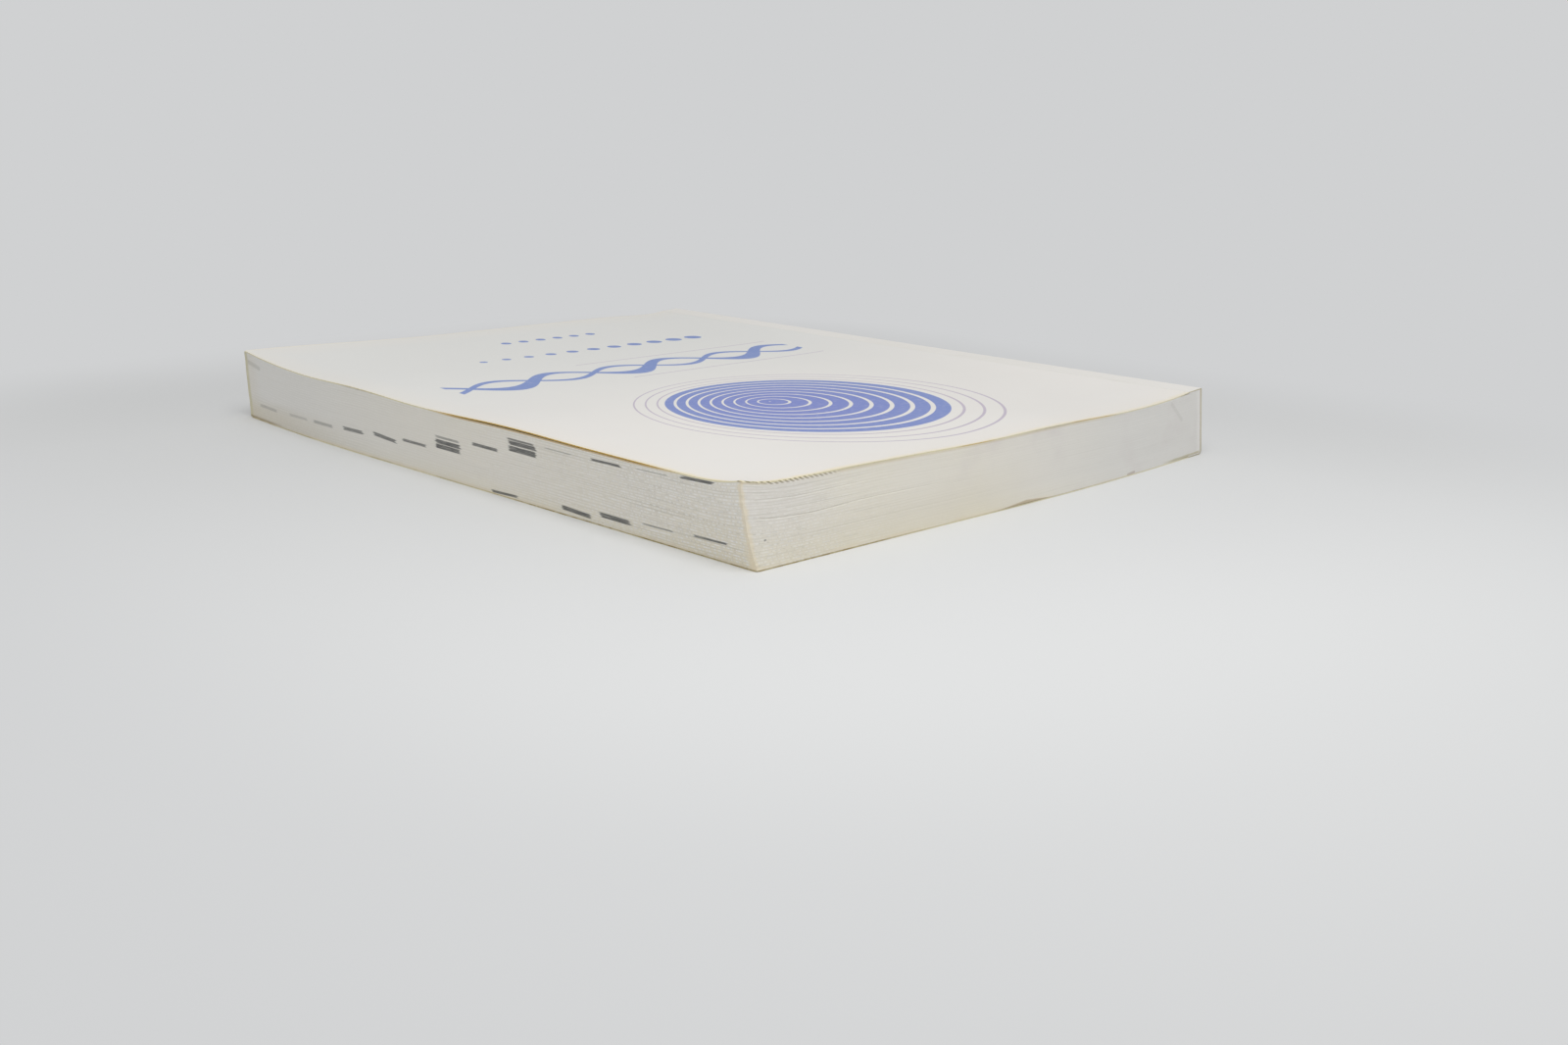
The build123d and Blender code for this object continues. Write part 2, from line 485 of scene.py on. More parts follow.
def spine_finish():
    """The card round the spine: its outer side, and its cut ends at head and tail."""
    material, shader, place, (x, y, z) = finish("spine_card", 0.5, 0.42)
    ends = y.size().rise(head / mm - 0.06, head / mm - 0.03)
    cloud = noise(place, 30, 3).rise(0.3, 0.75)
    crease = noise(place, 2.4, 4, (1, 0.12, 1)).rise(0.62, 0.75)
    core = noise(place, 4, 3).rise(0.35, 0.7).mix(spine_core, spine_core_olive)
    core = (z.fall(3.0, 6.0) * 0.5).mix(core, spine_core_dark)
    colour = layered(card_white, [
        (cloud * 0.4, spine_cloud), (crease * 0.2, spine_crease), (ends, core)])
    paint(shader, colour, noise(place, 0.4, 3) + crease * 0.6, 0.02 * mm)
    return material


def glue_finish():
    """Set white adhesive, a little uneven and stained olive beside the card."""
    material, shader, place, (x, y, z) = finish("white_glue", 0.45, 0.4)
    low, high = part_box("spine_glue")
    back_height, front_height, spine_shift = 1.8, 21.0, 2.3
    slope = spine_shift / (front_height - back_height)
    across = x - low.x / mm - (z - back_height) * slope
    stain = (across + (noise(place, 1.5, 2) - 0.5) * 0.2).fall(0.3, 0.6)
    colour = noise(place, 2.5, 3).rise(0.3, 0.7).mix(glue_white, glue_cloud)
    colour = (stain * 0.6).mix(colour, card_core_olive)
    paint(shader, colour, noise(place, 0.8, 3), 0.05 * mm)
    return material


def page_finish():
    """The first and last page: plain uncoated paper, toned at its edges."""
    material, shader, place, (x, y, z) = finish("page_face", 0.9, 0.2)
    from_edge = from_trim(place, x, y, 8, 4, 5)
    colour = noise(place, 24, 3).rise(0.3, 0.7).mix(page_face, page_cloud)
    colour = (from_edge.fall(0, 12) * 0.5).mix(colour, page_rim)
    paint(shader, colour, noise(place, 0.3, 4), 0.02 * mm)
    return material


# Ink marks on the fore edge, each given by its middle along the edge, half its length, its
# lowest and highest point, how steeply it rises towards the head, and how dark it is
tab_marks = [
    (99.7, 5.4, 18.6, 19.35, 0.04, 0.95), (83.6, 5.5, 17.9, 18.15, 0.03, 0.5),
    (66.2, 5.6, 16.9, 17.55, 0.02, 0.95), (47.6, 5.2, 16.75, 17.05, 0.0, 0.4),
    (31.9, 5.5, 16.5, 17.05, 0.0, 0.85), (32.1, 5.7, 15.3, 16.4, 0.0, 0.95),
    (31.8, 5.7, 13.5, 15.0, 0.0, 0.95), (14.9, 5.6, 12.2, 13.1, 0.0, 0.9),
    (-2.9, 5.4, 11.6, 12.25, 0.0, 0.6), (-2.9, 5.7, 10.0, 11.2, 0.0, 0.95),
    (-3.2, 5.6, 8.6, 9.85, 0.0, 0.95), (-20.0, 5.7, 7.75, 8.55, 0.0, 0.85),
    (-35.4, 5.6, 6.7, 7.8, -0.06, 0.85), (-52.5, 5.3, 6.1, 7.15, 0.02, 0.8),
    (-69.5, 5.3, 5.45, 6.4, 0.0, 0.45), (-84.1, 5.2, 5.45, 6.25, 0.0, 0.25),
    (-102.3, 5.0, 5.5, 6.4, -0.05, 0.3), (100.5, 5.6, 4.65, 5.2, 0.03, 0.95),
    (81.5, 5.6, 3.85, 4.2, 0.02, 0.75), (65.7, 5.6, 2.4, 3.7, 0.0, 0.95),
    (50.3, 5.6, 1.25, 2.4, -0.035, 0.95), (20.2, 5.6, 0.6, 1.3, 0.03, 0.9),
]


def tab_ink(y, z, ragged):
    """How much ink the marks leave at each place of the fore edge."""
    ink = None
    for middle, half, low, high, slope, strength in tab_marks:
        off = y - middle + ragged
        level = z - off * slope
        mark = off.within(-half, half, 0.5) * level.within(low, high, 0.1) * strength
        ink = mark if ink is None else ink.most(mark)
    return ink


def streak(u, v, start, end, width):
    """1 on the line from start to end, and down to 0 at that distance from it."""
    run, climb = end[0] - start[0], end[1] - start[1]
    from_u = u - start[0]
    from_v = v - start[1]
    share = ((from_u * run + from_v * climb) / (run * run + climb * climb)).most(0.0).least(1.0)
    off_u = from_u - share * run
    off_v = from_v - share * climb
    return off_u.diagonal(off_v).fall(width * 0.3, width)


class EdgePlace:
    """Where a point of the leaves' cut edges lies, as wires. Along is its distance from the
    fore corner at the head, above zero along the head and below zero along the fore edge."""

    def __init__(self, place, split, corner_along, length_along, fore_length):
        past_fore_edge = 229
        chart = place.node("ShaderNodeUVMap", {"uv_map": "leaves"})
        along, leaf = [chart.node("ShaderNodeSeparateXYZ", None, {0: chart}, axis) for axis in "XY"]
        self.place = place
        self.x, self.y, self.z = split
        self.along = along * (length_along / mm) - corner_along / mm
        self.down_fore = 0 - self.along
        self.from_tail = self.along + fore_length / mm
        self.leaf = leaf * leaf_count
        self.on_head = self.along.rise(-0.01, 0.01)
        self.off_head = 1 - self.on_head
        self.on_fore = self.off_head * (self.along + past_fore_edge).rise(0, 1)
        self.foot = self.z.fall(0.5, 6.0)

    def grain(self, length, leaves, detail=2.0, leaf=None):
        """Noise with a grain given as a length and a number of leaves."""
        across = (leaf or self.leaf) / leaves
        sockets = {"X": self.along / length, "Y": across}
        return noise(across.node("ShaderNodeCombineXYZ", None, sockets), 1, detail)

    def leaf_offset(self, leaves, reach, detail):
        """An offset that changes from leaf to leaf, by up to half the reach each way."""
        across = self.leaf / leaves
        spot = across.node("ShaderNodeCombineXYZ", None, {"Y": across})
        return (noise(spot, 1, detail) - 0.5) * reach


def edge_tone(at):
    """The cut paper's tone: warm low down and in patches, grey towards the spine and the tail,
    and brown low at the tail, with painted shade at its foot towards the tail."""
    patches = noise(at.place, 40, 3).rise(0.35, 0.7)
    head_warm = at.on_head * at.along.within(26, 82, 16)
    low_warm = at.on_head * at.along.fall(60, 120) * at.z.fall(3, 14)
    away = at.on_head * at.along.rise(70, 150) + at.off_head * at.down_fore.rise(90, 220)
    beside = at.on_head * at.along.fall(10, 34) * at.z.rise(4, 15)
    # Painted shade low on the fore edge towards the tail
    foot_shade_by_tail = at.foot * at.off_head * at.down_fore.rise(120, 205)
    by_corner = at.on_fore * at.along.rise(-45, -5) * at.z.fall(6, 16)
    at_tail = at.z.fall(4.0, 9.5) * at.off_head * at.down_fore.rise(150, 228)
    blotch = noise(at.place, 13, 3).rise(0.5, 0.75) * at.on_head * at.along.rise(50, 90)
    return layered(page_edge, [
        (at.foot * 0.45 + patches * 0.2 + head_warm * 0.15, page_edge_warm),
        (low_warm * 0.4, page_edge_low),
        (away * 0.85, page_edge_grey),
        (beside * 0.7, page_edge_high),
        (foot_shade_by_tail * 0.12, page_shadow),
        (by_corner * 0.22, page_edge_cream),
        (at_tail * 0.35, page_edge_tail),
        (blotch * 0.35, page_blotch)])


def leaf_lines(at, colour, strands, clear):
    """Long lines, short strands and, near the corner, light specks and dark dashes in rows."""
    dotted = at.off_head * at.along.rise(-70, -30)
    dotted = dotted + at.on_head * at.along.fall(10, 36) * at.z.fall(8, 15) * 0.8
    lines = at.grain(45, 5).fall(0.28, 0.46)
    row = at.leaf / 7.5 + at.grain(60, 60) * 3
    from_row = (row.fraction() - 0.5).size()
    in_row = from_row.fall(0.1, 0.35)
    by_fore = 1 - at.on_head * 0.5
    specks = at.grain(0.9, 1, 0.0, row.whole() * 3.7).rise(0.42, 0.62) * in_row
    dashes = at.grain(0.7, 1, 0.0, row.whole() * 5.3 + 40).rise(0.5, 0.7) * in_row
    return layered(colour, [
        (lines * 0.25 * clear + strands * (0.16 - dotted * 0.06) * clear, page_shadow),
        (specks * clear * (by_fore * 0.75 + dotted * 0.2), page_light),
        (from_row.rise(0.2, 0.45) * clear * by_fore * 0.14, page_shadow),
        (dashes * dotted * 0.25, page_shadow)])


def edge_wear(at, colour):
    """Partings, worn corners, warm painted shade on the top leaves under the bow of the front cover,
    and darker, warmer and frayed stretches beside the two covers.
    """
    parted = at.place.node("ShaderNodeAttribute", {"attribute_name": "parting"}, output="Fac")
    on_side = at.along.size().rise(0.8, 3)
    corner = at.along + at.leaf_offset(24, 1.6, 1) + at.leaf_offset(5, 0.9, 1)
    band = corner.within(-1.0, 0.7, 0.5) + corner.within(-2.2, -0.6, 0.6) * at.z.fall(1, 9)
    low_tail = at.leaf.fall(3, 9) * at.from_tail.fall(10, 24) * at.on_fore
    # Painted shade on the top leaves in the gap under the bow, warm like the light thrown from the
    # card's inside
    shaded_under_bow = at.on_fore * at.y.within(*bow_shade_stretch)
    shaded_under_bow = shaded_under_bow * (at.leaf + at.grain(12, 400)).rise(196, 198)
    under_card = at.on_head * at.x.rise(-60, -30) * at.leaf.rise(192, 198)
    frayed = at.on_head * at.x.within(64, 86, 2)
    frayed = frayed * (at.leaf + at.grain(3, 400) * 5).rise(196, 198)
    thread = fray(at.x, at.z)
    rim = at.z.fall(0.5, 1.5) * noise(at.place, 16, 2).rise(0.35, 0.65)
    return layered(colour, [
        (parted.rise(0.2, 0.9) * on_side * 0.5, parting_shade),
        (band * 0.7, edge_band),
        (at.from_tail.within(-0.8, 6.0, 4.0) * at.on_fore * 0.2, tail_wash),
        (at.from_tail.within(-0.8, 1.6, 0.8) * 0.8, tail_rim),
        (low_tail * 0.55, tail_brown),
        (shaded_under_bow * 0.7, bow_gap_shade),
        (under_card * 0.45, under_card_cream),
        (frayed * (1 - thread) * 0.5, page_light),
        (frayed * thread * 0.45, strand_shade),
        (rim * 0.5, edge_band)])


def edge_marks(at, colour):
    """The ink marks on the fore edge, painted shade in the slit above the back cover and along a
    dent, and the small smudges and stains.
    """
    ragged = at.leaf_offset(4.5, 2.2, 0) + at.leaf_offset(0.9, 1.9, 0)
    patchy = 1 - at.grain(5, 1.4).rise(0.45, 0.75) * 0.5
    strip = (at.leaf + at.grain(6, 40) * 4).fall(7, 12) * at.along.rise(156, 164)
    # Painted shade of the slit between the lowest leaves and the back cover
    slit = (at.leaf + (at.x - slit_place / mm).size() * 0.9).fall(7, 11)
    # Painted shade along a dent; its grey also colours a smudge near the tail
    dent_shade = streak(at.x, at.z, (-71.5, 18.6), (-77.0, 13.4), 0.8) * at.on_head
    smudge = streak(at.y, at.z, (-105.5, 17.8), (-112.0, 19.0), 1.0) * at.on_fore
    speck = streak(at.x, at.z, (86.0, 6.9), (86.2, 6.9), 0.36) * at.on_head
    stain = streak(at.x, at.z, (-52.0, 1.2), (-55.0, 1.5), 0.55) * at.on_head
    return layered(colour, [
        (tab_ink(at.y, at.z, ragged) * patchy * at.on_fore, ink_grey),
        (strip * at.on_head * 0.6, card_core_olive),
        (slit * at.on_head * 0.5, slit_shade_ochre),
        (dent_shade * 0.1 + smudge * 0.25, dent_shade_and_smudge_grey),
        (speck * 0.7, ink_grey),
        (stain * 0.35, stain_brown)])


def leaf_edge_finish(corner_along, length_along, fore_length):
    """The cut edges of the leaves at fore edge, head and tail."""
    material, shader, place, split = finish("leaf_edges", 0.9, 0.15)
    at = EdgePlace(place, split, corner_along, length_along, fore_length)
    unclear_head = at.on_head * at.along.rise(5, 70) * 0.85
    unclear_fore = at.off_head * at.down_fore.rise(30, 130) * 0.75
    clear = 1 - unclear_head - unclear_fore
    strands = at.grain(9, 2.2).fall(0.3, 0.5)
    colour = leaf_lines(at, edge_tone(at), strands, clear)
    colour = edge_marks(at, edge_wear(at, colour))
    paint(shader, colour, strands * clear, 0.02 * mm)
    return material


def span(node, y, side=0):
    """X of a node's spine side and fore side at one end of the book, along its top (side 1) or
    its bottom (side -1) if asked."""
    near = [v.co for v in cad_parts[node].data.vertices if abs(v.co.y - y) < 0.01 * mm]
    spine_side = min(near, key=lambda point: point.x - side * point.z)
    fore_side = max(near, key=lambda point: point.x + side * point.z)
    return spine_side.x, fore_side.x


def eased(steps, ease):
    """Places from 0 to 1, closer together towards both ends."""
    place = np.arange(steps + 1) / steps
    return place - ease * np.sin(2 * pi * place) / (2 * pi)


def wander(places, knots, seed):
    """A smooth random line from 0 to 1 along the places."""
    heights = np.random.RandomState(seed).rand(knots + 1)
    at = places * knots
    left = np.minimum(at.astype(int), knots - 1)
    share = at - left
    share = share * share * (3 - 2 * share)
    return heights[left] * (1 - share) + heights[left + 1] * share


def fade(distance, reach):
    """1 at no distance, easing down to 0 at the reach and beyond."""
    return np.cos(pi / 2 * np.clip(np.abs(distance) / reach, 0, 1)) ** 2


def ground_plan(node, across, along, side=0):
    """X and Y of a grid laid over a node, from its spine side to its fore side, tail to head."""
    low_tail, high_tail = span(node, tail, side)
    low_head, high_head = span(node, head, side)
    left = low_tail + (low_head - low_tail) * along
    right = high_tail + (high_head - high_tail) * along
    x = left[None, :] + (right - left)[None, :] * across[:, None]
    y = tail + (head - tail) * along[None, :] + 0 * x
    return x, y


def solid(*nodes):
    """The given nodes together, as a target for rays."""
    points, faces = [], []
    for node in nodes:
        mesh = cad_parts[node].data
        faces += [[len(points) + corner for corner in face.vertices] for face in mesh.polygons]
        points += [vertex.co for vertex in mesh.vertices]
    return BVHTree.FromPolygons(points, faces)


def met(target, x, y, from_above):
    """Heights at which upright rays meet a solid, from above or from below."""
    start, way = (ray_start, Vector((0, 0, -1))) if from_above else (-ray_start, Vector((0, 0, 1)))
    z = np.zeros_like(x)
    for place in np.ndindex(x.shape):
        z[place] = target.ray_cast(Vector((x[place], y[place], start)), way)[0].z
    return z


def surface(node, x, y, from_above):
    """Heights of a node's upper or lower face over a grid, with its facets smoothed out."""
    inset = 0.04 * mm
    inner_x = np.clip(x, x.min(axis=0) + inset, x.max(axis=0) - inset)
    inner_y = np.clip(y, tail + inset, head - inset)
    return smoothed(met(solid(node), inner_x, inner_y, from_above))


def smoothed(grid):
    """The grid with its bumps evened out and its edges kept."""
    for _ in range(facet_smoothing):
        for _ in range(2):
            wide = np.pad(grid, ((1, 1), (0, 0)), mode="reflect", reflect_type="odd")
            grid = ((wide[:-2] + 2 * wide[1:-1] + wide[2:]) / 4).T
    return grid


def rounded_corners(x, y, reach):
    """Draws the two fore corners of a panel in to a round of that reach."""
    edge = x.max(axis=0)[None, :]
    for end, sign in ((tail, -1), (head, 1)):
        in_x = np.clip((x - edge + reach) / reach, 0, 1)
        in_y = np.clip(((y - end) * sign + reach) / reach, 0, 1)
        both = (in_x > 0) & (in_y > 0)
        shrink = np.where(both, np.maximum(in_x, in_y) / np.maximum(np.hypot(in_x, in_y), 1e-9), 1)
        x = np.where(both, edge - reach + in_x * shrink * reach, x)
        y = np.where(both, end - sign * reach + sign * in_y * shrink * reach, y)
    return x, y


def added(name, data):
    """A new object in the scene."""
    item = bpy.data.objects.new(name, data)
    bpy.context.scene.collection.objects.link(item)
    return item


def new_piece(name, points, faces, finishes, face_finish, smooth):
    """A mesh object with its points in place and a finish for each face."""
    mesh = bpy.data.meshes.new(name)
    mesh.from_pydata(points.tolist(), [], faces)
    for material in finishes:
        mesh.materials.append(material)
    mesh.polygons.foreach_set("material_index", face_finish)
    mesh.polygons.foreach_set("use_smooth", smooth)
    mesh.set_sharp_from_angle(angle=sharp_angle)
    return added(name, mesh)


def panel_faces(rows, columns, outer_on_top):
    """Faces over, under and round a grid of points, and which finish each has: 0 for the outer
    side of the card, 1 for the inner side and 2 for the cut edge."""
    below = rows * columns
    faces, kinds = [], []
    for i in range(rows - 1):
        for j in range(columns - 1):
            a, b = i * columns + j, (i + 1) * columns + j
            faces += [(a, b, b + 1, a + 1), (a + below, a + 1 + below, b + 1 + below, b + below)]
            kinds += [0, 1] if outer_on_top else [1, 0]
    last_row, last_column = rows - 1, columns - 1
    rim = [i * columns for i in range(last_row)]
    rim += [last_row * columns + j for j in range(last_column)]
    rim += [i * columns + last_column for i in range(last_row, 0, -1)]
    rim += [j for j in range(last_column, 0, -1)]
    for start, end in zip(rim, rim[1:] + rim[:1]):
        faces.append((start + below, end + below, end, start))
        kinds.append(2)
    return faces, kinds


def cover_panel(name, node, finishes, outer_on_top, seed):
    """One free panel of the cover over its solid. Its finishes are for the outer side, the inner
    side and the cut edge."""
    across = eased(panel_steps_x, panel_ease)
    along = eased(panel_steps_y, panel_ease)
    x, y = ground_plan(node, across, along)
    upper = surface(node, x, y, True)
    lower = surface(node, x, y, False)
    x[0] -= score_reach
    for height in (upper, lower):
        height[0] = height[1] + (height[1] - height[2]) * (x[0] - x[1]) / (x[1] - x[2])
    x, y = rounded_corners(x, y, corner_wear)
    fore_pull = edge_wander * wander(along, fore_knots, seed)[None, :]
    x = x - fore_pull * across[:, None] ** wander_power
    head_pull = edge_wander * wander(across, end_knots, seed + 1)[:, None]
    tail_pull = edge_wander * wander(across, end_knots, seed + 2)[:, None]
    y = y - head_pull * along[None, :] ** wander_power
    y = y + tail_pull * (1 - along[None, :]) ** wander_power
    points = np.concatenate([np.stack([x, y, z], -1).reshape(-1, 3) for z in (upper, lower)])
    faces, kinds = panel_faces(len(across), len(along), outer_on_top)
    return new_piece(name, points, faces, finishes, kinds, [kind != 2 for kind in kinds])


def block_layers():
    """Grids of points over the top leaf and the bottom leaf, drawn close to the card."""
    across = eased(block_steps_x, block_ease)
    along = eased(block_steps_y, block_ease)
    top_x, top_y = ground_plan("text_block", across, along, 1)
    low_x, low_y = ground_plan("text_block", across, along, -1)
    top_z = surface("text_block", top_x, top_y, True)
    low_z = surface("text_block", low_x, low_y, False)
    closed = np.clip((top_x - top_x[0] - glue_reach) / glue_ease, 0, 1)
    bowed = np.clip((bow_reach - np.abs(top_y - bow_place)) / bow_ease, 0, 1) ** 2
    bowed = bowed * fade(top_x[-1] - top_x, bow_reach)
    top_z += side_gap * closed * (1 - bowed)
    low_z -= side_gap * closed
    return np.stack([top_x, top_y, top_z], -1), np.stack([low_x, low_y, low_z], -1)


def lifted(points, share):
    """Raises the lowest leaves off the back cover beside the head."""
    near = fade(points[..., 0] - slit_place, slit_reach) * fade(head - points[..., 1], slit_depth)
    points[..., 2] += slit_height * near * np.maximum(0, 1 - share / slit_leaves) ** 2
    return points


def leaf_walls(top_ring, low_ring, fore_side):
    """Points of the cut edges: a row of them for each leaf's edge and each seam."""
    share = (np.arange(wall_rows + 1) / wall_rows)[:, None, None]
    walls = low_ring + (top_ring - low_ring) * share
    bellied = belly * np.maximum(0, 1 - (head - low_ring[fore_side, 1]) / belly_reach) ** 2
    walls[:, fore_side, 0] += (4 * share * (1 - share))[..., 0] * bellied
    return lifted(walls, share[..., 0])


def block_faces(columns, top_spot, low_spot):
    """Faces of the cut edges, of the top and bottom leaf and of the back, and which are walls."""
    faces = []
    for row in range(wall_rows):
        for at in range(columns - 1):
            a = row * columns + at
            faces.append((a, a + 1, a + 1 + columns, a + columns))
    wall_count = len(faces)
    for i in range(block_steps_x):
        for j in range(block_steps_y):
            cell = [(i, j), (i + 1, j), (i + 1, j + 1), (i, j + 1)]
            faces.append(tuple(top_spot[place] for place in cell))
            faces.append(tuple(low_spot[place] for place in reversed(cell)))
    spine_up = [row * columns for row in range(wall_rows + 1)]
    spine_down = [row * columns + columns - 1 for row in range(wall_rows, -1, -1)]
    top_spine = [top_spot[0, j] for j in range(1, block_steps_y)]
    low_spine = [low_spot[0, j] for j in range(block_steps_y - 1, 0, -1)]
    faces.append(tuple(spine_up + top_spine + spine_down + low_spine))
    return faces, [index < wall_count for index in range(len(faces))]


# What the leaves' relief reads at each point or face: the kind of value and where it is kept
leaf_marks = {"leaf": ("FLOAT", "POINT"), "outward": ("FLOAT_VECTOR", "POINT"),
              "wall": ("BOOLEAN", "FACE"), "parting": ("FLOAT", "POINT")}


def mark_points(mesh, ring, is_wall):
    """Gives each point its leaf, its place along the cut edges, its way outward, and how far
    partings draw it in. Returns the ring's length to the fore corner at the head and to its
    end, and the length of the fore edge."""
    steps = np.linalg.norm(np.diff(ring[:, :2], axis=0), axis=1)
    distance = np.concatenate([[0], np.cumsum(steps)])
    tail_corner, head_corner = block_steps_x, block_steps_x + block_steps_y
    outward = np.zeros((len(ring), 3))
    outward[:tail_corner + 1, 1] -= 1
    outward[tail_corner:head_corner + 1, 0] += 1
    outward[head_corner:, 1] += 1
    outward[0] = outward[-1] = 0

    def for_all(values):
        padded = np.zeros((len(mesh.vertices), *values.shape[1:]), np.float32)
        padded[:len(values)] = values
        return padded

    leaf = for_all(np.repeat(np.arange(wall_rows + 1) / rows_per_leaf, len(ring)))
    travel = for_all(np.tile(distance, wall_rows + 1))
    away = for_all(np.tile(outward, (wall_rows + 1, 1)))
    parted = parting(leaf, travel, distance[head_corner]).astype(np.float32)
    values = {"leaf": leaf, "outward": away.ravel(), "wall": is_wall, "parting": parted}
    for name, (kind, domain) in leaf_marks.items():
        part = "vector" if kind == "FLOAT_VECTOR" else "value"
        mesh.attributes.new(name, kind, domain).data.foreach_set(part, values[name])
    corners = np.zeros(len(mesh.loops), np.int32)
    mesh.loops.foreach_get("vertex_index", corners)
    chart = np.stack([travel[corners] / distance[-1], leaf[corners] / leaf_count], -1)
    mesh.uv_layers.new(name="leaves").data.foreach_set("uv", chart.astype(np.float32).ravel())
    return distance[head_corner], distance[-1], distance[head_corner] - distance[tail_corner]


def block_mesh():
    """The leaves as one closed block, and the lengths of its cut edges."""
    top, low = block_layers()
    last_x, last_y = block_steps_x, block_steps_y
    ring = [(i, 0) for i in range(last_x)] + [(last_x, j) for j in range(last_y)]
    ring += [(i, last_y) for i in range(last_x, -1, -1)]
    top_ring = np.array([top[place] for place in ring])
    low_ring = np.array([low[place] for place in ring])
    walls = leaf_walls(top_ring, low_ring, slice(last_x, last_x + last_y + 1))
    low = lifted(low, 0.0)

    points = [walls.reshape(-1, 3)]
    inner = [(i, j) for i in range(last_x) for j in range(1, last_y)]
    low_spot = {place: index for index, place in enumerate(ring)}
    top_spot = {place: wall_rows * len(ring) + index for place, index in low_spot.items()}
    for spot, layer in ((top_spot, top), (low_spot, low)):
        first = sum(len(part) for part in points)
        spot.update({place: first + index for index, place in enumerate(inner)})
        points.append(np.array([layer[place] for place in inner]))
    faces, is_wall = block_faces(len(ring), top_spot, low_spot)
    smooth = [not wall for wall in is_wall]
    piece = new_piece("leaves", np.concatenate(points), faces, [], [0] * len(faces), smooth)
    return piece, mark_points(piece.data, low_ring, is_wall)


# Partings that show between the leaves. Each is a line of places, given by their distance
# from the fore corner at the head, below zero along the fore edge and above zero along the
# head, and their share of the block's height; and how deep it is.
partings = [
    ([(1, 0.584), (20, 0.552), (34, 0.578)], 0.6),
    ([(30, 0.571), (34, 0.578), (56, 0.58), (77, 0.51)], 0.35),
    ([(0.4, 0.965), (4, 0.972), (7, 0.98)], 0.6),
    ([(2, 0.80), (20, 0.79), (40, 0.81)], 0.35),
    ([(6, 0.30), (50, 0.31), (90, 0.30)], 0.3),
    ([(-75, 0.70), (-40, 0.71), (-3, 0.69)], 0.35),
    ([(-120, 0.42), (-70, 0.43), (-20, 0.42)], 0.3),
]


def parting(leaf, travel, corner):
    """How far each point of the leaves' edges is drawn in, by partings and by the worn corner."""
    worn_share, worn_reach, worn_knots, worn_seed = 0.9, 1.0, 34, 5
    uneven_share, uneven_knots, uneven_seed = 0.35, 8, 21
    end_reach = 4
    from_corner = (travel - corner) / mm
    worn = fade(from_corner, worn_reach) * wander(leaf / leaf_count, worn_knots, worn_seed)
    uneven = wander(leaf / leaf_count, uneven_knots, uneven_seed)
    drawn = worn_share * worn + uneven_share * uneven
    for knots, depth in partings:
        places, shares = zip(*knots)
        level = np.interp(from_corner, places, shares) * leaf_count
        from_end = np.minimum(from_corner - places[0], places[-1] - from_corner)
        ends = np.clip(from_end / end_reach, 0, 1)
        drawn = np.maximum(drawn, depth * ends * np.exp(-((leaf - level) / parting_width) ** 2))
    return drawn


def leaf_relief():
    """Geometry tree that draws each seam between two leaves in, and trims each leaf unevenly."""
    tree = bpy.data.node_groups.new("leaf_relief", "GeometryNodeTree")
    inputs = [("Geometry", "Geometry"), ("Groove depth", "Float"), ("Trim spread", "Float"),
              ("Parting depth", "Float"), ("Seed", "Int"), ("Page face", "Material"),
              ("Leaf edges", "Material")]
    for name, kind in inputs:
        tree.interface.new_socket(name, in_out="INPUT", socket_type="NodeSocket" + kind)
    tree.interface.new_socket("Geometry", in_out="OUTPUT", socket_type="NodeSocketGeometry")
    given = tree.nodes.new("NodeGroupInput")
    size = {name: Wire(tree, given.outputs[name]) for name, kind in inputs}
    start = Wire(tree)
    mark = {name: start.node("GeometryNodeInputNamedAttribute", {"data_type": kind}, {"Name": name})
            for name, (kind, domain) in leaf_marks.items()}
    seam = (mark["leaf"].fraction() - 0.5).size() * 2
    number = start.node("FunctionNodeRandomValue", {"data_type": "FLOAT"},
                        {2: 0.0, 3: 1.0, "ID": mark["leaf"].whole(), "Seed": size["Seed"]}, 1)
    depth = seam * size["Groove depth"] + number * size["Trim spread"]
    depth = depth + mark["parting"] * size["Parting depth"]
    offset = start.node("ShaderNodeVectorMath", {"operation": "SCALE"},
                        {0: mark["outward"], "Scale": 0 - depth})
    moved = start.node("GeometryNodeSetPosition", None,
                       {"Geometry": size["Geometry"], "Offset": offset})
    real = start.node("GeometryNodeRealizeInstances", None, {"Geometry": moved})
    faced = start.node("GeometryNodeSetMaterial", None,
                       {"Geometry": real, "Material": size["Page face"]})
    edged = start.node("GeometryNodeSetMaterial", None,
                       {"Geometry": faced, "Selection": mark["wall"], "Material": size["Leaf edges"]})
    result = tree.nodes.new("NodeGroupOutput")
    tree.links.new(edged.socket, result.inputs["Geometry"])
    return tree


def grown(piece, tree, values):
    """Runs a geometry tree on a piece and keeps the result as its mesh."""
    modifier = piece.modifiers.new("shape", "NODES")
    modifier.node_group = tree
    for item in tree.interface.items_tree:
        if item.in_out == "INPUT" and item.name in values:
            modifier[item.identifier] = values[item.name]
    depsgraph = bpy.context.evaluated_depsgraph_get()
    shaped = piece.evaluated_get(depsgraph)
    mesh = bpy.data.meshes.new_from_object(shaped, preserve_all_data_layers=True, depsgraph=depsgraph)
    piece.modifiers.clear()
    piece.data = mesh
    return piece


# Leaves
leaves, edge_lengths = block_mesh()
grown(leaves, leaf_relief(), {
    "Groove depth": groove_depth, "Trim spread": trim_spread, "Parting depth": parting_depth,
    "Seed": trim_seed, "Page face": page_finish(), "Leaf edges": leaf_edge_finish(*edge_lengths)})
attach(leaves, "block")
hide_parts("text_block")

